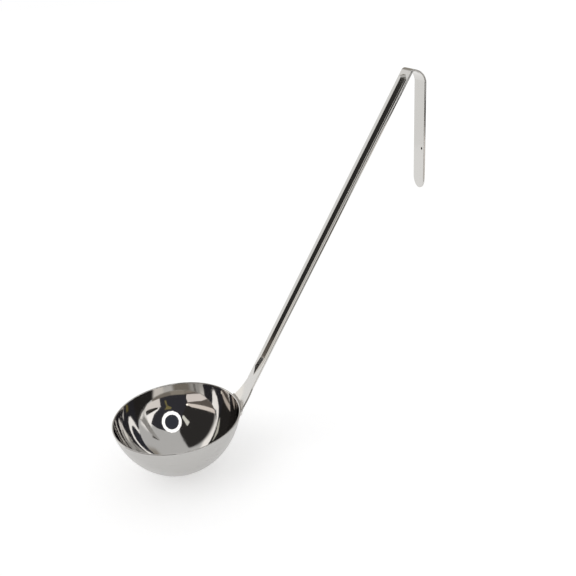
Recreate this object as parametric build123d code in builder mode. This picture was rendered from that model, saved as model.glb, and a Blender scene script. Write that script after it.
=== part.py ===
from build123d import *
import os
from math import cos, radians, sin, sqrt, tan

# A soup ladle of polished stainless steel: a deep-drawn bowl, and one pressed strip that is its
# neck, handle and hook, welded to the outside of the bowl's rim.
# Lengths are in millimetres and angles in degrees. +Z is the bowl's axis, and the handle leans
# towards +X. The origin is the middle of the hook tongue's inner face, which lies against the
# side of a pot when the ladle hangs there.

# Bowl
bowl_radius = 48.3  # outside of the rim
bowl_depth = 44.5  # rim plane to the outside of the bottom
bowl_wall = 1.2
rim_turn = 76.0  # how far round its ellipse the wall climbs from the bottom
rim_rounding = 0.45

# Handle strip
sheet = 1.35
strip_width = 16.0
shank_reach = 48.7  # bowl's axis to the line of the shank's front face, at the rim plane
shank_lean = 30.5  # from the bowl's axis
handle_height = 235.2  # rim plane to the crown, where the hook turns over
crown_radius = 2.8  # outside of the sharp bend at the crown
hook_run = 10.2  # crown to the tongue's outer face
hook_fall = 3.6  # crown down to the far bend
hook_radius = 9.5  # outside of the far bend
tongue_length = 81.3
tongue_corner = 7.8
vent_radius = 0.9  # small hole in the tongue
vent_height = 29.3  # above the tip
vent_offset = 4.5  # from the strip's centre line

# Neck, from the bowl's rim up to the flat strip
neck_width = 28.0  # at the rim
waist_width = 24.0  # where the neck's straight sides would reach the rim
neck_length = 16.0
neck_fillet = 3.0  # between the neck's sides and the rim
neck_lap = 1.0  # how far the neck's end reaches down the wall's outer face
shoulder_rise = 1.3  # above the rim plane, where the neck starts to lean
neck_shares = (0.35, 0.7)

# Rib pressed along the shank
rib_base_width = 8.4
rib_top_width = 4.2
rib_height = 2.5
rib_start = 22.5  # above the shoulder, along the shank
rib_end_gap = 6.5  # rib to the crown
rib_run_out = 18.0  # length of the pointed lower end
rib_end_run = 5.0  # length of the sloped upper end

# Weld seam under the neck's end, ground flush with the neck's back
weld_drop = 5.0  # from the rim plane down to the seam's toe
weld_corner = 3.5

overrun = 5.0  # cuts run this far past what they cut

# The wall's outer face follows an ellipse, whose centre is above the rim plane
ellipse_across = bowl_radius / sin(radians(rim_turn))
ellipse_down = bowl_depth / (1 - cos(radians(rim_turn)))
ellipse_center = Vector(0, ellipse_down * cos(radians(rim_turn)))

# Corners of the strip's front face, seen from the side and measured from the rim's centre
shank_foot = Vector(shank_reach + shoulder_rise * tan(radians(shank_lean)), shoulder_rise)
shank_height = handle_height - shoulder_rise
crown = shank_foot + Vector(shank_height * tan(radians(shank_lean)), shank_height)
far_bend = crown + Vector(hook_run, -hook_fall)
tip = far_bend - Vector(0, tongue_length)
shank_way = (crown - shank_foot).normalized()
shank_length = (crown - shank_foot).length

# The rim's centre, placed so that the tongue's inner face holds the origin
rim_center = Vector(sheet - far_bend.X, 0, -tip.Y - tongue_length / 2)
bowl_axis = Axis(rim_center, (0, 0, 1))
side_plane = Plane(origin=rim_center, x_dir=(1, 0, 0), z_dir=(0, -1, 0))
end_plane = Plane(origin=rim_center, x_dir=(0, 1, 0), z_dir=(1, 0, 0))
tongue_plane = Plane(origin=(0, 0, 0), x_dir=(0, 1, 0), z_dir=(1, 0, 0))

# The shank's front face: Y runs up the shank, and Z points to the bowl's side
shank_origin = rim_center + Vector(shank_foot.X, 0, shank_foot.Y)
shank_plane = Plane(origin=shank_origin, x_dir=(0, -1, 0), z_dir=(-shank_way.Y, 0, shank_way.X))


def wall_reach(height, thickness=0):
    """From the bowl's axis to the wall's outer face, or a sheet on it, this high above the rim."""
    down_share = (ellipse_center.Y - height) / (ellipse_down + thickness)
    return (ellipse_across + thickness) * sqrt(1 - down_share**2)


def shell_section(inside, outside, top):
    """Half section of a shell along the wall's outer face, up to this height above the rim."""
    height = ellipse_down + outside + top - ellipse_center.Y
    with BuildSketch() as section:
        with Locations(ellipse_center):
            Ellipse(ellipse_across + outside, ellipse_down + outside)
            Ellipse(ellipse_across - inside, ellipse_down - inside, mode=Mode.SUBTRACT)
        with Locations((0, top)):
            Rectangle(
                ellipse_across + outside, height, align=(Align.MIN, Align.MAX), mode=Mode.INTERSECT
            )
    return section.sketch


def joint_outline(low, high):
    """The neck's and the seam's common outline, between two heights above the rim plane."""
    with BuildSketch(end_plane) as outline:
        with Locations((0, (shoulder_rise - weld_drop) / 2)):
            Rectangle(neck_width, shoulder_rise + weld_drop)
        fillet(outline.vertices().group_by(Axis.Y)[0], radius=weld_corner)
        with Locations((0, (low + high) / 2)):
            Rectangle(neck_width, high - low, mode=Mode.INTERSECT)
    return outline.sketch


# Bowl: a drawn shell with a rounded rim
with BuildPart() as bowl:
    with BuildSketch(side_plane):
        add(shell_section(bowl_wall, 0, 0))
        fillet(vertices().group_by(Axis.Y)[-1], radius=rim_rounding)
    revolve(axis=bowl_axis)
bowl.part.label = "bowl"

# Weld seam, a wedge that fills the corner between the neck's end and the wall
with BuildPart() as weld_seam:
    with BuildSketch(side_plane):
        Polygon(
            (0, -neck_lap),
            (wall_reach(-neck_lap, sheet), -neck_lap),
            (wall_reach(-weld_drop), -weld_drop),
            (0, -weld_drop),
            align=None,
        )
        with Locations(ellipse_center):
            Ellipse(ellipse_across, ellipse_down, mode=Mode.SUBTRACT)
    revolve(axis=bowl_axis)
    extrude(
        joint_outline(-weld_drop, -neck_lap), amount=bowl_radius + overrun, mode=Mode.INTERSECT
    )
weld_seam.part.label = "weld_seam"

# At the shoulder the neck's front face lies this far from the bowl's axis, which is a step in
# front of the shank's face, and it bulges this much in the middle
shoulder_reach = wall_reach(shoulder_rise)
shoulder_bulge = shoulder_reach - sqrt(shoulder_reach**2 - (neck_width / 2) ** 2)
shoulder_step = (shank_foot.X - shoulder_reach) * cos(radians(shank_lean))

# The outer corner of the neck at the rim plane, seen in the shank's plane
corner_reach = sqrt(wall_reach(0, sheet) ** 2 - (neck_width / 2) ** 2)
neck_corner = shank_plane.to_local_coords(rim_center + Vector(corner_reach, neck_width / 2, 0))

# Cross-sections of the neck, which loses the wall's curve and its step as it climbs
neck_sections = []
half = neck_width / 2
for share in neck_shares:
    left_share = (1 - share) ** 2
    middle = left_share * shoulder_step
    side = middle + left_share * shoulder_bulge
    section_origin = shank_plane.from_local_coords(Vector(0, share * neck_length, 0))
    section_plane = Plane(origin=section_origin, x_dir=(0, 1, 0), z_dir=shank_plane.y_dir)
    with BuildSketch(section_plane) as section:
        with BuildLine():
            front = ThreePointArc((-half, side), (0, middle), (half, side))
            back = ThreePointArc((-half, side - sheet), (0, middle - sheet), (half, side - sheet))
            Line(front @ 0, back @ 0)
            Line(front @ 1, back @ 1)
        make_face()
    neck_sections.append(section.sketch)


def rib_outline(climb_share):
    """Corners of the rib's outline where its flanks have climbed this share of their height."""
    half = (rib_base_width - climb_share * (rib_base_width - rib_top_width)) / 2
    nose = half / 2
    low = rib_start + climb_share * rib_run_out / 2
    low_bend = rib_start + rib_run_out
    high = shank_length - rib_end_gap - climb_share * rib_end_run / 2
    high_bend = high - rib_end_run / 2
    right_side = [(0, low), (half, low_bend), (half, high_bend), (nose, high)]
    left_side = [(-x, y) for x, y in reversed(right_side[1:])]
    return right_side + left_side


# Handle: neck, shank, hook and tongue, all one strip
with BuildPart() as handle:
    # Neck, which starts on the wall's outer face and ends as the flat strip
    with BuildSketch(side_plane):
        add(shell_section(0, sheet, shoulder_rise))
    revolve(axis=bowl_axis)
    extrude(
        joint_outline(-neck_lap, shoulder_rise), amount=bowl_radius + overrun, mode=Mode.INTERSECT
    )
    shoulder_face = handle.faces().sort_by(Axis.Z)[-1]
    with BuildSketch(
        Plane(
            origin=shank_plane.from_local_coords(Vector(0, neck_length, 0)),
            x_dir=(0, 1, 0),
            z_dir=shank_plane.y_dir,
        ),
        mode=Mode.PRIVATE,
    ) as neck_top:
        with Locations((0, -sheet / 2)):
            Rectangle(neck_width, sheet)
    loft(sections=[shoulder_face, *neck_sections, neck_top.sketch])

    # Its sides are trimmed to the strip's width, with a fillet down to the rim
    with BuildSketch(shank_plane) as neck_outline:
        with BuildLine():
            side_line = Polyline(
                (0, neck_length + overrun),
                (strip_width / 2, neck_length + overrun),
                (strip_width / 2, neck_length),
                (waist_width / 2, neck_corner.Y),
                (neck_width / 2 + overrun, neck_corner.Y),
                (neck_width / 2 + overrun, neck_corner.Y - weld_drop),
                (0, neck_corner.Y - weld_drop),
            )
            mirror(side_line, about=Plane.YZ)
        make_face()
        side_corners = neck_outline.vertices().group_by(Axis.X)
        fillet(side_corners[1] + side_corners[-2], radius=neck_fillet)
    extrude(amount=neck_width, both=True, mode=Mode.INTERSECT)

    # Shank, hook and tongue
    with BuildSketch(side_plane):
        with BuildLine():
            FilletPolyline(
                shank_foot + shank_way * neck_length,
                crown,
                far_bend,
                tip,
                radius=(crown_radius, hook_radius),
            )
            offset(amount=sheet, side=Side.RIGHT)
        make_face()
    extrude(amount=strip_width / 2, both=True)
    fillet(handle.edges().filter_by(Axis.X).sort_by(Axis.X)[-2:], radius=tongue_corner)

    # Rib on the front and the channel that pressing it leaves in the back
    for floor, mode in ((0, Mode.ADD), (-sheet, Mode.SUBTRACT)):
        with BuildSketch(shank_plane.offset(floor)):
            Polygon(rib_outline(0))
        with BuildSketch(shank_plane.offset(floor + rib_height)):
            Polygon(rib_outline(1))
        loft(ruled=True, mode=mode)

    with BuildSketch(tongue_plane):
        with Locations((-vent_offset, vent_height - tongue_length / 2)):
            Circle(vent_radius)
    extrude(amount=sheet, mode=Mode.SUBTRACT)
handle.part.label = "handle"

os.makedirs("parts", exist_ok=True)
export_step(bowl.part, "parts/bowl.step")
export_step(handle.part, "parts/handle.step")
export_step(weld_seam.part, "parts/weld_seam.step")
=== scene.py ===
from math import asin, atan, atan2, cos, degrees, pi, radians, sin, sqrt, tan

import bmesh
import bpy
from mathutils import Matrix, Vector


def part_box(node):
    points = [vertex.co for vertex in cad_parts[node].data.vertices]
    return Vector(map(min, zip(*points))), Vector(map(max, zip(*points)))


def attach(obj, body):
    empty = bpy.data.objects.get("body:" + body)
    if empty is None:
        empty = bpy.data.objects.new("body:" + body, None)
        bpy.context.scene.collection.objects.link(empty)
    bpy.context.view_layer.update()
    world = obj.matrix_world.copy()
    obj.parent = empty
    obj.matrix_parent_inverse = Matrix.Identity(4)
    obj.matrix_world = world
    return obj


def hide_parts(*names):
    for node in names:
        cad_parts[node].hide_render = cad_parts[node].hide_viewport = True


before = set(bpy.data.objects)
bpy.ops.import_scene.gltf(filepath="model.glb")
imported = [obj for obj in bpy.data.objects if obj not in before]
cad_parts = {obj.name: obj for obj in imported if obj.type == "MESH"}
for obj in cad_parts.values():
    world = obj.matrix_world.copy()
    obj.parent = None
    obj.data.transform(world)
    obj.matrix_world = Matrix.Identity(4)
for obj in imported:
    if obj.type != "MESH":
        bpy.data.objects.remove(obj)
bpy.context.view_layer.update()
bowlLow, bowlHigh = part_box("bowl")
rimCentre = Vector(((bowlLow.x + bowlHigh.x) / 2, 0, bowlHigh.z))
mm = 0.001
near = 1e-6  # how close a vertex lies to the place it is looked for
print("frame loaded, rim centre", tuple(round(value, 4) for value in rimCentre))


# Helpers for modelling: every piece starts as a primitive and is shaped in edit mode

def deselectAll():
    if bpy.context.mode != "OBJECT":
        bpy.ops.object.mode_set(mode="OBJECT")
    bpy.ops.object.select_all(action="DESELECT")


def startPiece(name, size=(1, 1, 1)):  # names and sizes the new primitive, for edit mode
    piece = bpy.context.object
    piece.name = piece.data.name = name
    piece.scale = size
    bpy.ops.object.transform_apply(location=True, rotation=True, scale=True)
    bpy.ops.object.mode_set(mode="EDIT")
    return piece


def pick(kind, test):  # selects the vertices, edges or faces that pass the test
    bpy.ops.mesh.select_mode(type=kind[:-1].upper())
    bpy.ops.mesh.select_all(action="DESELECT")
    shape = bmesh.from_edit_mesh(bpy.context.object.data)
    for part in getattr(shape, kind):
        if test(part):
            part.select_set(True)
    shape.select_flush_mode()
    bmesh.update_edit_mesh(bpy.context.object.data)


def move(x=0, y=0, z=0):
    bpy.ops.transform.translate(value=(x, y, z))


def extrude(x=0, y=0, z=0):
    bpy.ops.mesh.extrude_region_move(TRANSFORM_OT_translate={"value": (x, y, z)})


def cut(place, normal, **choices):  # cuts the whole mesh along a plane
    bpy.ops.mesh.select_all(action="SELECT")
    bpy.ops.mesh.bisect(plane_co=place, plane_no=normal, **choices)


def addModifier(piece, kind, **values):  # adds a modifier and applies it
    deselectAll()
    bpy.context.view_layer.objects.active = piece
    piece.select_set(True)
    modifier = piece.modifiers.new(kind.title(), kind)
    for name, value in values.items():
        setattr(modifier, name, value)
    bpy.ops.object.modifier_apply(modifier=modifier.name)


# Ladle's main lines, in the plane of the handle, from the rim's centre
ladle = {
    "rimRadius": 48.3 * mm,
    "rimTurn": radians(76),  # how far round its ellipse the wall climbs
    "sheet": 1.35 * mm,
    "stripWidth": 16 * mm,
    "reach": 48.7 * mm,  # bowl's axis to the shank's front face
    "lean": radians(30.5),
    "height": 235.2 * mm,
    "shoulder": 1.3 * mm,  # above the rim plane
}
ellipseAcross = ladle["rimRadius"] / sin(ladle["rimTurn"])
ellipseDown = (bowlHigh.z - bowlLow.z) / (1 - cos(ladle["rimTurn"]))
ellipseHeight = ellipseDown * cos(ladle["rimTurn"])
leanSin, leanCos = sin(ladle["lean"]), cos(ladle["lean"])
footX = ladle["reach"] + ladle["shoulder"] * tan(ladle["lean"])
shankLength = (ladle["height"] - ladle["shoulder"]) / leanCos


def wallReach(height, thickness=0):  # axis to the wall's outer face, or to a sheet on it
    climb = (ellipseHeight - height) / (ellipseDown + thickness)
    return (ellipseAcross + thickness) * sqrt(1 - climb**2)


# Bowl: a sphere drawn out to the ellipse, cut at the rim, given its wall and a rounded lip
bowlForm = {
    "segments": 192,
    "rings": 144,
    "wall": 1.2 * mm,
    "lip": 0.5 * mm,  # rounding of the rim's two edges
    "lipSegments": 5,
    "spareHeight": 1.5 * mm,  # above the rim, until the wall has its thickness
}

deselectAll()
bpy.ops.mesh.primitive_uv_sphere_add(
    segments=bowlForm["segments"],
    ring_count=bowlForm["rings"],
    radius=1,
    location=rimCentre + Vector((0, 0, ellipseHeight)),
)
bowl = startPiece("bowlShell", (ellipseAcross, ellipseAcross, ellipseDown))
cut(rimCentre + Vector((0, 0, bowlForm["spareHeight"])), (0, 0, 1), clear_outer=True)
addModifier(bowl, "SOLIDIFY", thickness=bowlForm["wall"], offset=-1, use_rim=False)
bpy.ops.object.mode_set(mode="EDIT")
cut(rimCentre, (0, 0, 1), clear_outer=True)
rimLevel = rimCentre.z
pick("edges", lambda edge: edge.is_boundary)
bpy.ops.mesh.bridge_edge_loops()
pick(  # the rim's edges, each between the flat top and a wall
    "edges",
    lambda edge: all(abs(vert.co.z - rimLevel) < near for vert in edge.verts)
    and any(abs(face.normal.z) < 0.5 for face in edge.link_faces),
)
bpy.ops.mesh.bevel(
    offset=bowlForm["lip"], segments=bowlForm["lipSegments"], profile=0.5, clamp_overlap=False
)
deselectAll()
print("bowl shaped")


# Handle: pressed from one strip. It is modelled upright, with its front face towards -X and its
# foot at the origin, then leaned over and set at its place
handleForm = {
    "ribTop": 2.1 * mm,  # half width, as the next two
    "ribBase": 4.2 * mm,
    "sideColumn": 6.2 * mm,
    "ribStart": 22.5 * mm,  # from the shoulder
    "ribRise": 2.5 * mm,
    "ribRunOut": 18 * mm,  # length of the pointed lower end
    "ribGap": 5.2 * mm,  # up to the crown
    "ribEndRun": 3.2 * mm,
    "ribEndShare": 0.5,  # how much of the ridge's width is left at its upper end
    "neckLength": 16 * mm,
    "neckWidth": 28 * mm,
    "waistWidth": 24 * mm,
    "neckFillet": 3 * mm,
    "neckLap": 1 * mm,  # down the wall, below the rim
    "neckRows": (14.5, 13, 11.5, 10, 8.5, 7.2, 6, 4.9, 3.9, 3, 2.2, 1.6, 1.1, 0.7, 0.3, 0),
    "wallRows": (0.9, 0.5, 0.1, -0.4, -1.0, -1.8, -2.6),  # mm, as are the neck's rows
    "crownRadius": 2.8 * mm,
    "hookRun": 10.2 * mm,
    "hookFall": 3.6 * mm,
    "hookRadius": 9.5 * mm,
    "bendSteps": 18,
    "tongueLength": 81.3 * mm,
    "tongueCorner": 7.8 * mm,
    "tongueCornerSegments": 16,
    "ventRadius": 0.9 * mm,
    "ventSegments": 32,
    "ventHeight": 29.3 * mm,  # above the tongue's tip
    "ventOffset": 4.5 * mm,
    "ventSpare": 3 * mm,  # from the cut in the tongue's face up to the vent's middle
    "edgeRounding": 0.35 * mm,
    "edgeSegments": 3,
    "sharpHeight": 2.2 * mm,  # above the rim, where the rounding of the edges ends
    "foldAngle": radians(9),  # flatter ones aren't rounded
    "softFoldAngle": radians(12),
    "softFoldShare": 0.25,  # how much of the rounding a soft fold gets
}
halfStrip = ladle["stripWidth"] / 2
halfNeck = handleForm["neckWidth"] / 2
neckLength = handleForm["neckLength"]
ribTop, ribBase = handleForm["ribTop"], handleForm["ribBase"]
columns = (0, ribTop, ribBase, handleForm["sideColumn"], halfStrip)
ribLow = handleForm["ribStart"]
ribTopLow = ribLow + handleForm["ribRunOut"] / 2
ribBendLow = ribLow + handleForm["ribRunOut"]
ribHigh = shankLength - handleForm["ribGap"]
ribTopHigh = ribHigh - handleForm["ribEndRun"] / 2
ribBendHigh = ribHigh - handleForm["ribEndRun"]
hookSlope = atan(handleForm["hookFall"] / handleForm["hookRun"])
crownTurn = pi / 2 - ladle["lean"] + hookSlope
bendTurn = pi / 2 - hookSlope
crownTangent = handleForm["crownRadius"] * tan(crownTurn / 2)
bendTangent = handleForm["hookRadius"] * tan(bendTurn / 2)
shankTop = shankLength - crownTangent
endRow = 1 * mm  # rows this close to a bend keep its shading off the flat faces

deselectAll()
bpy.ops.mesh.primitive_plane_add(
    size=1,
    location=(0, 0, (neckLength + shankTop) / 2),
    rotation=(0, -pi / 2, 0),
)
handle = startPiece("handleStrip", (shankTop - neckLength, 2 * halfStrip, 1))
for column in columns[:-1]:
    for side in {column, -column}:
        cut((0, side, 0), (0, 1, 0))
for row in (
    neckLength + 1.5 * endRow, ribLow, ribTopLow, ribBendLow, ribBendHigh, ribTopHigh, ribHigh,
    shankTop - endRow,
):
    cut((0, 0, row), (0, 0, 1))


def at(vert, across, along):
    return abs(vert.co.y - across) < near and abs(vert.co.z - along) < near


# Rib: its ridge and top are pulled forward, and the folds at its ends get their edges
pick(
    "verts",
    lambda vert: (abs(vert.co.y) < near and ribTopLow - near < vert.co.z < ribTopHigh + near)
    or (abs(abs(vert.co.y) - ribTop) < near and ribBendLow - near < vert.co.z < ribTopHigh + near),
)
move(x=-handleForm["ribRise"])
pick("verts", lambda vert: at(vert, ribTop, ribTopHigh) or at(vert, -ribTop, ribTopHigh))
bpy.ops.transform.resize(
    value=(1, handleForm["ribEndShare"], 1), center_override=(0, 0, ribTopHigh)
)
for first, last in (
    ((0, ribLow), (ribTop, ribTopLow)),
    ((0, ribTopLow), (ribTop, ribBendLow)),
    ((ribTop, ribTopLow), (ribBase, ribBendLow)),
    ((ribTop, ribBendHigh), (ribBase, ribTopHigh)),
    ((ribBase, ribTopHigh), (ribTop, ribHigh)),
):
    for side in (1, -1):
        pick(
            "verts",
            lambda vert: at(vert, side * first[0], first[1]) or at(vert, side * last[0], last[1]),
        )
        bpy.ops.mesh.vert_connect()
print("rib pressed")


# Neck: the strip's lower end is drawn out row by row, then spread and bent round the wall
def intoStrip(reach, height):  # a point beside the rim, as (forward, along) on the strip
    stepX, stepZ = reach - footX, height - ladle["shoulder"]
    return stepZ * leanSin - stepX * leanCos, stepX * leanSin + stepZ * leanCos


def onWall(across, height):
    return intoStrip(sqrt(wallReach(height) ** 2 - across**2), height)


def onNeck(across, share):  # share 0 is at the shoulder, and 1 at the flat strip
    forward, along = onWall(across, ladle["shoulder"])
    return forward * (1 - share) ** 2, along * (1 - share) ** 2 + share * neckLength


cornerReach = sqrt(wallReach(0, ladle["sheet"]) ** 2 - halfNeck**2)
cornerAlong = intoStrip(cornerReach, 0)[1]
sideSlope = atan((handleForm["waistWidth"] / 2 - halfStrip) / (neckLength - cornerAlong))
filletAlong = cornerAlong + handleForm["neckFillet"]
filletAcross = (
    halfStrip
    + (neckLength - filletAlong) * tan(sideSlope)
    + handleForm["neckFillet"] / cos(sideSlope)
)


def halfWidth(along):  # half the neck's width: straight sides, a fillet, then the full width
    if along > filletAlong + handleForm["neckFillet"] * sin(sideSlope):
        return halfStrip + (neckLength - along) * tan(sideSlope)
    if along < cornerAlong:
        return halfNeck
    drop = sqrt(max(0, handleForm["neckFillet"] ** 2 - (along - filletAlong) ** 2))
    return min(halfNeck, filletAcross - drop)


neckRows = [(onNeck, along * mm / neckLength) for along in handleForm["neckRows"]]
neckRows += [(onWall, height * mm) for height in handleForm["wallRows"]]
flatStep = 1 * mm  # between the rows, before they go to their places
widthRounds = 15  # a row's width depends on its place, so both are found in turns
untouched = 1e-8  # a vertex this close to the strip's plane hasn't been moved yet
for number in range(len(neckRows)):
    pick("verts", lambda vert: vert.co.z < neckLength - number * flatStep + near)
    extrude(z=-flatStep)
for number, (place, value) in reversed(list(enumerate(neckRows, 1))):
    width = halfStrip
    for guess in range(widthRounds):
        width = halfWidth(place(width, value)[1])
    flatRow = neckLength - number * flatStep
    for column in columns:
        across = column / halfStrip * width
        forward, along = place(across, value)
        for side in {1, -1} if column else {1}:
            pick(
                "verts",
                lambda vert: at(vert, side * column, flatRow) and abs(vert.co.x) < untouched,
            )
            move(x=-forward, y=side * (across - column), z=along - flatRow)
print("neck drawn out")

# Hook: the strip's upper end is bent over the crown and the far bend into the tongue
pick("verts", lambda vert: vert.co.z > shankTop - near)
bpy.ops.mesh.spin(
    steps=handleForm["bendSteps"],
    angle=crownTurn,
    center=(handleForm["crownRadius"], 0, shankTop),
    axis=(0, -1, 0),
)
runLength = handleForm["hookRun"] / cos(hookSlope) - crownTangent - bendTangent
runX, runZ = sin(crownTurn), cos(crownTurn)
extrude(x=runX * runLength, z=runZ * runLength)
crownX = crownTangent * runX
crownZ = shankLength + crownTangent * runZ
bendX = crownX + runX * runLength + handleForm["hookRadius"] * runZ
bendZ = crownZ + runZ * runLength - handleForm["hookRadius"] * runX
bpy.ops.mesh.spin(
    steps=handleForm["bendSteps"], angle=bendTurn, center=(bendX, 0, bendZ), axis=(0, -1, 0)
)
downX, downZ = sin(crownTurn + bendTurn), cos(crownTurn + bendTurn)
tongueRun = handleForm["tongueLength"] - bendTangent
extrude(x=downX * endRow, z=downZ * endRow)
extrude(x=downX * (tongueRun - endRow), z=downZ * (tongueRun - endRow))
bpy.ops.mesh.select_all(action="SELECT")
bpy.ops.mesh.remove_doubles(threshold=near / 10)
bpy.ops.mesh.normals_make_consistent(inside=False)
bpy.ops.object.mode_set(mode="OBJECT")
shankFaces = [face for face in handle.data.polygons if abs(face.center.x) < near]
if sum(face.normal.x for face in shankFaces) > 0:  # the strip's front has to look towards -X
    bpy.ops.object.mode_set(mode="EDIT")
    bpy.ops.mesh.select_all(action="SELECT")
    bpy.ops.mesh.flip_normals()
print("hook bent")

# Strip leans over and goes to its place by the rim
deselectAll()
handle.select_set(True)
bpy.context.view_layer.objects.active = handle
handle.rotation_euler = (0, ladle["lean"], 0)
handle.location = rimCentre + Vector((footX, 0, ladle["shoulder"]))
bpy.ops.object.transform_apply(location=True, rotation=True, scale=True)
bpy.ops.object.mode_set(mode="EDIT")
tongueTip = -handleForm["tongueLength"] / 2
tongueTop = tongueTip + tongueRun - endRow
ventLevel = tongueTip + handleForm["ventHeight"]


def onTongue(face):
    return face.normal.x > 0.999 and face.calc_center_median().z < tongueTop


# Tongue: made one flat face, which is cut once below the vent, and given round corners at its tip
flatWithin = radians(0.5)
pick("faces", onTongue)
bpy.ops.mesh.dissolve_limited(angle_limit=flatWithin)
pick("faces", onTongue)
bpy.ops.mesh.bisect(plane_co=(0, 0, ventLevel - handleForm["ventSpare"]), plane_no=(0, 0, 1))
pick("verts", lambda vert: vert.co.x > -near and vert.co.z < tongueTip + 10 * near)
bpy.ops.mesh.bevel(
    offset=handleForm["tongueCorner"],
    segments=handleForm["tongueCornerSegments"],
    affect="VERTICES",
    clamp_overlap=False,
)
addModifier(handle, "SOLIDIFY", thickness=ladle["sheet"], offset=-1, use_even_offset=True)
bpy.ops.object.mode_set(mode="EDIT")
for side in (1, -1):
    cut((0, side * halfNeck, 0), (0, side, 0), clear_outer=True, use_fill=True)
deselectAll()
bpy.ops.mesh.primitive_cylinder_add(
    vertices=handleForm["ventSegments"],
    radius=handleForm["ventRadius"],
    depth=4 * ladle["sheet"],
    location=(ladle["sheet"] / 2, -handleForm["ventOffset"], ventLevel),
    rotation=(0, pi / 2, 0),
)
drill = bpy.context.object
addModifier(handle, "BOOLEAN", object=drill, operation="DIFFERENCE", solver="EXACT")
bpy.data.objects.remove(drill)


def foldBetween(edge, low, high):  # a fold between these angles, above the neck's end
    return low < edge.calc_face_angle(0) < high and all(
        vert.co.z > rimCentre.z + handleForm["sharpHeight"] for vert in edge.verts
    )


# Every fold and edge is rounded, down to the neck's end, which stays sharp against the rim. The
# soft folds where the rib starts to taper get a finer rounding
bpy.ops.object.mode_set(mode="EDIT")
foldAngle, softFoldAngle = handleForm["foldAngle"], handleForm["softFoldAngle"]
pick("edges", lambda edge: foldBetween(edge, foldAngle, pi))
bpy.ops.transform.edge_bevelweight(value=1)
pick("edges", lambda edge: foldBetween(edge, foldAngle, softFoldAngle))
bpy.ops.transform.edge_bevelweight(value=handleForm["softFoldShare"] - 1)
addModifier(
    handle,
    "BEVEL",
    width=handleForm["edgeRounding"],
    segments=handleForm["edgeSegments"],
    limit_method="WEIGHT",
    use_clamp_overlap=False,
)
bpy.ops.object.mode_set(mode="EDIT")
cut(
    rimCentre - Vector((0, 0, handleForm["neckLap"])), (0, 0, -1), clear_outer=True, use_fill=True
)
deselectAll()
print("handle shaped")


# Weld seam: a wedge round the wall under the neck's end, ground flush, with rounded corners
seamForm = {
    "drop": 5 * mm,
    "corner": 3.5 * mm,
    "steps": 28,
    "cornerCuts": 7,
    "sink": 0.4 * mm,  # goes this far into the wall
    "overlap": 1.15,  # spun this much past the neck's width, which it is then cut to
}
seamTop, seamToe = -handleForm["neckLap"], -seamForm["drop"]
seamTurn = seamForm["overlap"] * asin(halfNeck / wallReach(seamTop))
topIn, topOut = wallReach(seamTop) - seamForm["sink"], wallReach(seamTop, ladle["sheet"])
toeOut = wallReach(seamToe)
toeIn = toeOut - seamForm["sink"]

deselectAll()
bpy.ops.mesh.primitive_plane_add(
    size=1,
    location=rimCentre + Vector(((topIn + topOut) / 2, 0, (seamTop + seamToe) / 2)),
    rotation=(pi / 2, 0, 0),
)
weldSeam = startPiece("weldSeam", (topOut - topIn, seamTop - seamToe, 1))
toeLevel = rimCentre.z + seamToe
for edgeFrom, edgeTo in ((topIn, toeIn), (topOut, toeOut)):
    pick(
        "verts",
        lambda vert: abs(vert.co.z - toeLevel) < near
        and abs(vert.co.x - rimCentre.x - edgeFrom) < near,
    )
    move(x=edgeTo - edgeFrom)
bpy.ops.mesh.select_all(action="SELECT")
bpy.ops.transform.rotate(value=-seamTurn, orient_axis="Z", center_override=tuple(rimCentre))
bpy.ops.mesh.spin(
    steps=seamForm["steps"], angle=2 * seamTurn, center=tuple(rimCentre), axis=(0, 0, 1)
)
for side in (1, -1):  # ends at the neck's width, then rounds the lower corners cut by cut
    cut((0, side * halfNeck, 0), (0, side, 0), clear_outer=True, use_fill=True)
    for step in range(1, seamForm["cornerCuts"]):
        turn = pi / 2 * step / seamForm["cornerCuts"]
        outY, outZ = side * cos(turn), -sin(turn)
        cornerY = side * (halfNeck - seamForm["corner"]) + seamForm["corner"] * outY
        cornerZ = toeLevel + seamForm["corner"] * (1 + outZ)
        cut((0, cornerY, cornerZ), (0, outY, outZ), clear_outer=True, use_fill=True)
bpy.ops.mesh.select_all(action="SELECT")
bpy.ops.mesh.remove_doubles(threshold=near)
bpy.ops.mesh.normals_make_consistent(inside=False)
deselectAll()
print("weld seam shaped")


# Finishes. Every pattern reads Object coordinates, in metres
def addNode(material, kind, **values):  # sets the node's own values and its sockets by name
    node = material.node_tree.nodes.new("ShaderNode" + kind)
    for name, value in values.items():
        if hasattr(node, name):
            setattr(node, name, value)
        else:
            node.inputs[name].default_value = value
    return node


steelForm = {
    "mirror": {
        "colour": (0.66, 0.645, 0.625, 1), "roughness": (0.03, 0.09), "stretch": (1, 1, 1),
        "grain": 90, "grainBump": 0.00001, "dents": 22, "dentBump": 0.0003,
    },
    "satin": {
        "colour": (0.53, 0.52, 0.505, 1), "roughness": (0.26, 0.42), "stretch": (3, 3, 60),
        "grain": 12, "grainBump": 0.00002, "dents": 30, "dentBump": 0.0002,
    },
    "strip": {
        "colour": (0.63, 0.618, 0.595, 1), "roughness": (0.06, 0.15), "stretch": (2, 150, 2),
        "grain": 8, "grainBump": 0.0000005, "dents": 25, "dentBump": 0.00005,
    },
    # the vent's wall: rough as drilled, and near black, which is painted shade for the hole
    "drilledWithShade": {
        "colour": (0.06, 0.055, 0.05, 1), "roughness": (0.5, 0.7), "stretch": (60, 20, 20),
        "grain": 15, "grainBump": 0.00002, "dents": 60, "dentBump": 0.0001,
    },
    "ground": {
        "colour": (0.6, 0.58, 0.56, 1), "roughness": (0.25, 0.45), "stretch": (20, 20, 90),
        "grain": 15, "grainBump": 0.00002, "dents": 60, "dentBump": 0.0001,
    },
}
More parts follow.
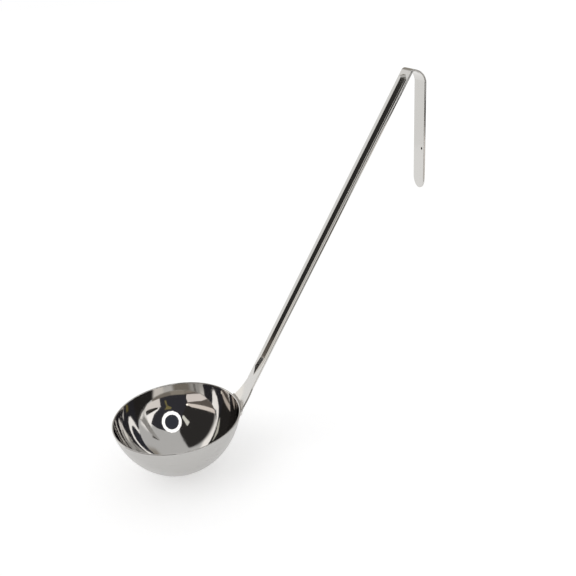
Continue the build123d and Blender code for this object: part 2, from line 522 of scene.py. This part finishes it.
finishForm = {
    "wearScale": 35,
    "patchy": (0.1, 0.45),  # where the roughness starts and stops to change with the wear
    "shadeShare": 0.93,  # how much of the colour is left along the grain
    "smoothAngle": radians(32),
}


def makeSteel(name):
    form = steelForm[name]
    material = bpy.data.materials.new(name + "Steel")
    material.use_nodes = True
    links = material.node_tree.links
    shader = material.node_tree.nodes["Principled BSDF"]
    shader.inputs["Metallic"].default_value = 1
    place = addNode(material, "TexCoord").outputs["Object"]
    centred = addNode(material, "Mapping", vector_type="POINT", Location=-rimCentre)
    links.new(place, centred.inputs["Vector"])
    stretched = addNode(material, "Mapping", vector_type="POINT", Scale=form["stretch"])
    links.new(centred.outputs["Vector"], stretched.inputs["Vector"])
    grain = addNode(material, "TexNoise", Scale=form["grain"], Detail=5, Roughness=0.6)
    links.new(stretched.outputs["Vector"], grain.inputs["Vector"])
    wear = addNode(material, "TexNoise", Scale=finishForm["wearScale"], Detail=3, Roughness=0.5)
    links.new(centred.outputs["Vector"], wear.inputs["Vector"])
    mixed = addNode(material, "Math", operation="MULTIPLY")
    links.new(grain.outputs["Fac"], mixed.inputs[0])
    links.new(wear.outputs["Fac"], mixed.inputs[1])
    rough = addNode(material, "MapRange")
    for socket, value in zip(
        ("From Min", "From Max", "To Min", "To Max"), finishForm["patchy"] + form["roughness"]
    ):
        rough.inputs[socket].default_value = value
    links.new(mixed.outputs["Value"], rough.inputs["Value"])
    links.new(rough.outputs["Result"], shader.inputs["Roughness"])
    tint = addNode(material, "MixRGB")
    tint.inputs["Color1"].default_value = form["colour"]
    shaded = [finishForm["shadeShare"] * value for value in form["colour"][:3]]
    tint.inputs["Color2"].default_value = (*shaded, 1)
    links.new(grain.outputs["Fac"], tint.inputs["Fac"])
    links.new(tint.outputs["Color"], shader.inputs["Base Color"])
    dents = addNode(material, "TexNoise", Scale=form["dents"], Detail=1)
    links.new(centred.outputs["Vector"], dents.inputs["Vector"])
    waves = addNode(material, "Bump", Strength=1, Distance=form["dentBump"])
    links.new(dents.outputs["Fac"], waves.inputs["Height"])
    lines = addNode(material, "Bump", Strength=1, Distance=form["grainBump"])
    links.new(grain.outputs["Fac"], lines.inputs["Height"])
    links.new(waves.outputs["Normal"], lines.inputs["Normal"])
    links.new(lines.outputs["Normal"], shader.inputs["Normal"])
    return material


for piece, finishes in (
    (bowl, ("satin", "mirror")), (handle, ("strip", "drilledWithShade")), (weldSeam, ("ground",)),
):
    for finish in finishes:
        piece.data.materials.append(makeSteel(finish))
    deselectAll()
    bpy.context.view_layer.objects.active = piece
    piece.select_set(True)
    bpy.ops.object.shade_smooth_by_angle(angle=finishForm["smoothAngle"])

# Inside of the bowl and its lip are mirror bright, and the outside is satin
bpy.context.view_layer.objects.active = bowl
bpy.ops.object.mode_set(mode="EDIT")
middle = rimCentre + Vector((0, 0, ellipseHeight))
lipTurn = 0.02  # the lip's faces look up at least this much
pick(
    "faces",
    lambda face: face.normal.dot(middle - face.calc_center_median()) > 0
    or face.normal.z > lipTurn,
)
bowl.active_material_index = 1
bpy.ops.object.material_slot_assign()
deselectAll()

# The vent's wall, which the polishing wheel doesn't reach, keeps a rough drilled finish, and its
# near-black colour is painted shade for the dark inside of the hole
bpy.context.view_layer.objects.active = handle
bpy.ops.object.mode_set(mode="EDIT")
ventCentre = Vector((0, -handleForm["ventOffset"], ventLevel))
ventReach = handleForm["ventRadius"] + 0.2 * mm
acrossTongue = Vector((0, 1, 1))
pick(
    "faces",
    lambda face: abs(face.normal.x) < 0.5
    and ((face.calc_center_median() - ventCentre) * acrossTongue).length < ventReach,
)
handle.active_material_index = 1
bpy.ops.object.material_slot_assign()
deselectAll()
for piece in (bowl, handle, weldSeam):
    addModifier(piece, "WEIGHTED_NORMAL", keep_sharp=True)
print("finishes on")

for piece, node, slotName in (
    (bowl, "bowl", "bowl_steel"), (handle, "handle", "handle_steel"),
    (weldSeam, "weld_seam", "weld_steel"),
):
    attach(piece, "root")
    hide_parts(node)


# Camera, at the photograph's viewing angle
cameraForm = {
    "azimuth": radians(-14.64),
    "elevation": radians(23.49),
    "roll": radians(-3.79),
    "lens": 43.75,
    "place": Vector((-26.0, -455.2, 292.6)) * mm,  # from the rim's centre
    "clipStart": 0.01,
}
viewTurn, viewRise = cameraForm["azimuth"], cameraForm["elevation"]
back = Vector((sin(viewTurn) * cos(viewRise), -cos(viewTurn) * cos(viewRise), sin(viewRise)))
right = Vector((cos(viewTurn), sin(viewTurn), 0))
up = back.cross(right)
rollCos, rollSin = cos(cameraForm["roll"]), sin(cameraForm["roll"])
right, up = rollCos * right + rollSin * up, rollCos * up - rollSin * right
deselectAll()
bpy.ops.object.camera_add()
camera = bpy.context.object
camera.name = "photoCamera"
camera.matrix_world = Matrix.Translation(rimCentre + cameraForm["place"]) @ Matrix(
    (right, up, back)
).transposed().to_4x4()
camera.data.lens = cameraForm["lens"]
camera.data.clip_start = cameraForm["clipStart"]
bpy.context.scene.camera = camera


# Studio: a white floor, and round the ladle a tent with dark curtains, which only the steel sees
def addGlow(name, colour, strength):
    material = bpy.data.materials.new(name)
    material.use_nodes = True
    material.node_tree.nodes.clear()
    glow = addNode(material, "Emission", Color=(*colour, 1), Strength=strength)
    output = addNode(material, "OutputMaterial")
    material.node_tree.links.new(glow.outputs["Emission"], output.inputs["Surface"])
    return material


def clearRays(tree):  # 1 for camera, glossy and transmission rays, and 0 for the rest
    rays = tree.nodes.new("ShaderNodeLightPath")
    total = rays.outputs["Is Camera Ray"]
    for name in ("Is Glossy Ray", "Is Transmission Ray"):
        adding = tree.nodes.new("ShaderNodeMath")
        adding.operation = "ADD"
        adding.use_clamp = True
        tree.links.new(total, adding.inputs[0])
        tree.links.new(rays.outputs[name], adding.inputs[1])
        total = adding.outputs["Value"]
    return total


def onlyForGloss(thing):
    thing.visible_camera = False
    thing.visible_diffuse = False
    thing.visible_shadow = False


floorForm = {
    "colour": (0.93, 0.93, 0.93, 1),
    "roughness": 0.9,
    "size": 60,
    "gap": 0.05 * mm,  # between the bowl and the floor
    "lift": 0.39,  # added for the camera, gloss and glass alone
}

deselectAll()
bpy.ops.mesh.primitive_plane_add(
    size=floorForm["size"], location=(rimCentre.x, 0, bowlLow.z - floorForm["gap"])
)
floor = bpy.context.object
floor.name = "studioFloor"
paper = bpy.data.materials.new("whitePaper")
paper.use_nodes = True
paperLinks = paper.node_tree.links
matt = paper.node_tree.nodes["Principled BSDF"]
matt.inputs["Base Color"].default_value = floorForm["colour"]
matt.inputs["Roughness"].default_value = floorForm["roughness"]
matt.inputs["Specular IOR Level"].default_value = 0
lift = addNode(paper, "Emission", Strength=floorForm["lift"])
lifted = addNode(paper, "AddShader")
paperLinks.new(matt.outputs[0], lifted.inputs[0])
paperLinks.new(lift.outputs[0], lifted.inputs[1])
seen = addNode(paper, "MixShader")
paperLinks.new(clearRays(paper.node_tree), seen.inputs["Fac"])
paperLinks.new(matt.outputs[0], seen.inputs[1])
paperLinks.new(lifted.outputs[0], seen.inputs[2])
paperLinks.new(seen.outputs[0], paper.node_tree.nodes["Material Output"].inputs["Surface"])
floor.data.materials.append(paper)

# Tent's cloth: patches by azimuth, from the far side round by +X, and by elevation, then the dark
# curtain on the camera's left, whose right edge moves as it climbs. Angles are in degrees
tentForm = {
    "radius": 0.95,
    "segments": 144,
    "rings": 72,
    "base": (0.62, 0.62, 0.615),
    "lowest": -20,  # elevation that the patches and the curtain come down to
    "patches": (  # azimuths, elevations, softness of both, and colour
        ((-45, 6), (-20, 36), (14, 8), (0.97, 0.97, 0.965)),
        ((4, 64), (20, 42), (18, 8), (0.36, 0.33, 0.29)),
        ((272, 330), (-20, 46), (10, 8), (1.25, 1.22, 1.18)),
        ((45, 128), (-20, 11), (12, 4), (0.09, 0.08, 0.075)),
        ((100, 152), (15, 32), (9, 5), (1.35, 1.33, 1.3)),
        ((150, 188), (-20, 30), (4, 4), (0.06, 0.06, 0.065)),
    ),
    "curtain": (0.036, 0.034, 0.033),
    "curtainLeft": 187,
    "curtainLeftSoftness": 5,
    "curtainEdge": (  # its elevations and azimuths
        (-20, 276), (15, 278), (24, 286), (31, 290), (41, 298), (50, 304), (60, 314), (70, 332),
        (90, 345),
    ),
    "curtainEdgeSoftness": 15,
    "curtainTop": ((187, 71), (329, 69)),
    "curtainTopSoftness": 0.04,
}


def direction(azimuth, elevation):  # as seen from the rim's centre, in degrees
    across = cos(radians(elevation))
    return Vector(
        (sin(radians(azimuth)) * across, cos(radians(azimuth)) * across, sin(radians(elevation)))
    )


def ease(share):  # goes softly from 0 to 1
    share = max(0, min(1, share))
    return share * share * (3 - 2 * share)


def within(value, limits, softness):  # 1 between the limits, with soft ends
    return ease(min(value - limits[0], limits[1] - value) / softness + 0.5)


def curtainShare(azimuth, elevation):  # how much of the curtain hangs here
    edges = tentForm["curtainEdge"]
    for (low, lowEdge), (high, highEdge) in zip(edges, edges[1:]):
        if low <= elevation <= high:
            edge = lowEdge + (highEdge - lowEdge) * (elevation - low) / (high - low)
    first, last = (direction(*corner) for corner in tentForm["curtainTop"])
    topSide = first.cross(last).normalized().dot(direction(azimuth, elevation))
    return (
        ease((azimuth - tentForm["curtainLeft"]) / tentForm["curtainLeftSoftness"] + 0.5)
        * ease((edge - azimuth) / tentForm["curtainEdgeSoftness"] + 0.5)
        * ease(topSide / tentForm["curtainTopSoftness"] + 0.5)
    )


def tentColour(azimuth, elevation):
    colour = Vector(tentForm["base"])
    for around, height, softness, patchColour in tentForm["patches"]:
        turned = (azimuth - around[0] + 90) % 360 + around[0] - 90  # less than a turn away
        weight = within(turned, around, softness[0]) * within(elevation, height, softness[1])
        colour = colour.lerp(Vector(patchColour), weight)
    if elevation > tentForm["lowest"]:
        colour = colour.lerp(Vector(tentForm["curtain"]), curtainShare(azimuth, elevation))
    return (*colour, 1)


deselectAll()
bpy.ops.mesh.primitive_uv_sphere_add(
    segments=tentForm["segments"],
    ring_count=tentForm["rings"],
    radius=tentForm["radius"],
    location=rimCentre,
)
tent = startPiece("lightTent")
deselectAll()
shades = tent.data.color_attributes.new("tentShade", "FLOAT_COLOR", "POINT")
for vert in tent.data.vertices:
    way = (vert.co - rimCentre).normalized()
    azimuth = degrees(atan2(way.x, way.y)) % 360
    elevation = degrees(asin(max(-1, min(1, way.z))))
    shades.data[vert.index].color = tentColour(azimuth, elevation)
tentCloth = addGlow("tentCloth", (1, 1, 1), 1)
shade = addNode(tentCloth, "VertexColor", layer_name="tentShade")
tentCloth.node_tree.links.new(
    shade.outputs["Color"], tentCloth.node_tree.nodes["Emission"].inputs["Color"]
)
tent.data.materials.append(tentCloth)
onlyForGloss(tent)


# Boards round the ladle: distance in metres, colour, and the directions of the corners
boards = {
    "figureShade": (0.78, (0.042, 0.042, 0.05), (
        (159, 7), (156, 16), (150, 21), (133, 24), (116, 30), (120, 42), (131, 54), (155, 62),
        (190, 62), (196, 50), (200, 38), (207, 27), (209, 19), (205, 10), (181, 9),
    )),
    "figureMark": (0.5, (0.25, 0.215, 0.09), (
        (164, 13), (167, 14), (167, 21), (175, 26), (172, 28), (159, 26), (165, 22), (164, 18),
    )),
    "slantedLamp": (0.93, (0.9, 0.9, 0.82), ((195, 42), (202, 41), (223, 50.5), (219, 58))),
    "lowLamp": (0.13, (0.95, 0.86, 0.79), (
        (212, 21.6), (238, 19.9), (274, 11.1), (285, 8.3), (288, 10.2), (258, 21.2), (225, 26.6),
        (214, 24.8),
    )),
    "lowLampSpot": (0.125, (2.2, 2.1, 1.9), (
        (210.5, 23.4), (213.5, 22.8), (215.5, 24.6), (211.5, 25.4),
    )),
    "paleWall": (0.17, (0.93, 0.86, 0.82), (
        (210, 8.8), (239, 4), (255, 6.2), (243, 12.9), (213, 19.9), (209, 14.1),
    )),
    "brownWall": (0.24, (0.15, 0.13, 0.115), (
        (210, 7), (240, 2), (273, -2), (283, 10), (254, 22), (210, 22),
    )),
    "leftCloth": (0.5, (0.97, 0.92, 0.88), (
        (120, 6.5), (137, 6.5), (156, 7), (153, 20), (148, 19), (142, 17), (133, 15), (121, 12.5),
    )),
    "darkHook": (0.49, (0.05, 0.046, 0.042), (
        (104, 14), (117, 17), (130, 19.5), (145, 20.5), (148, 19), (142, 17), (133, 15), (125, 13),
        (118, 12.5), (104, 9),
    )),
    "lowCloth": (0.45, (0.24, 0.215, 0.185), (
        (140, -5), (178, -5), (178, 8.5), (158, 8), (140, 7),
    )),
    "lowPaper": (0.45, (0.33, 0.3, 0.255), ((178, -5), (206, -5), (205, 9), (178, 8.5))),
    "lowSheet": (0.33, (0.3, 0.265, 0.225), ((206, -7), (234, -7), (234, 7), (206, 8.5))),
}
for name, (distance, colour, corners) in boards.items():
    deselectAll()
    bpy.ops.mesh.primitive_circle_add(vertices=len(corners), fill_type="NGON")
    board = bpy.context.object
    board.name = name
    for vert, corner in zip(board.data.vertices, corners):
        vert.co = rimCentre + direction(*corner) * distance
    board.data.materials.append(addGlow(name + "Glow", colour, 1))
    onlyForGloss(board)

# Mats that lie on the floor: colour, middle from the rim's centre, and size, in metres
mats = {
    "greyMat": ((0.5, 0.49, 0.475), (0.1, -0.33), (0.5, 0.24)),
    "blackMat": ((0.04, 0.036, 0.033), (-0.26, -0.15), (0.2, 0.13)),
}
matLevel = bowlLow.z - rimCentre.z + 0.5 * mm
for name, (colour, matPlace, size) in mats.items():
    deselectAll()
    bpy.ops.mesh.primitive_plane_add(size=1, location=rimCentre + Vector((*matPlace, matLevel)))
    mat = startPiece(name, (*size, 1))
    deselectAll()
    mat.data.materials.append(addGlow(name + "Glow", colour, 1))
    onlyForGloss(mat)

# Ring light with its dark hub, beside the camera
ringForm = {
    "azimuth": 165.5,
    "elevation": 49.5,
    "distance": 0.55,
    "outer": 0.187,  # radii
    "inner": 0.129,
    "corners": 14,
    "stretch": 1.08,
    "glow": 1.9,
    "hub": (0.05, 0.055, 0.07),
}
ringWay = direction(ringForm["azimuth"], ringForm["elevation"])
deselectAll()
bpy.ops.mesh.primitive_circle_add(
    vertices=ringForm["corners"], radius=ringForm["outer"], fill_type="NGON"
)
ring = startPiece("ringLight", (ringForm["stretch"], 1, 1))
bpy.ops.mesh.select_all(action="SELECT")
bpy.ops.mesh.inset(thickness=ringForm["outer"] - ringForm["inner"])
deselectAll()
ring.data.materials.append(addGlow("ringGlow", (1, 1, 1), ringForm["glow"]))
ring.data.materials.append(addGlow("ringHub", ringForm["hub"], 1))
hub = max(ring.data.polygons, key=lambda face: len(face.vertices))
hub.material_index = 1
ring.select_set(True)
bpy.context.view_layer.objects.active = ring
ring.rotation_euler = (-ringWay).to_track_quat("Z", "Y").to_euler()
ring.location = rimCentre + ringWay * ringForm["distance"]
bpy.ops.object.transform_apply(location=True, rotation=True, scale=True)
onlyForGloss(ring)

# Soft lamp and world, which light the floor and keep the ladle's shadow on it
lightForm = {
    "lamp": 0.3,
    "azimuth": 250,
    "elevation": 55,
    "softness": radians(45),
    "world": 0.62,
}

bpy.ops.object.light_add(type="SUN")
lamp = bpy.context.object
lamp.name = "softLamp"
lampWay = direction(lightForm["azimuth"], lightForm["elevation"])
lamp.rotation_euler = lampWay.to_track_quat("Z", "Y").to_euler()
lamp.data.energy = lightForm["lamp"]
lamp.data.angle = lightForm["softness"]
lamp.visible_glossy = False

world = bpy.data.worlds.new("studioWorld")
bpy.context.scene.world = world
world.use_nodes = True
background = world.node_tree.nodes["Background"]
background.inputs["Color"].default_value = (1, 1, 1, 1)
strength = world.node_tree.nodes.new("ShaderNodeMapRange")
strength.inputs["To Min"].default_value = lightForm["world"]
strength.inputs["To Max"].default_value = 1
world.node_tree.links.new(clearRays(world.node_tree), strength.inputs["Value"])
world.node_tree.links.new(strength.outputs["Result"], background.inputs["Strength"])
bpy.context.scene.view_settings.view_transform = "Standard"
print("studio set")
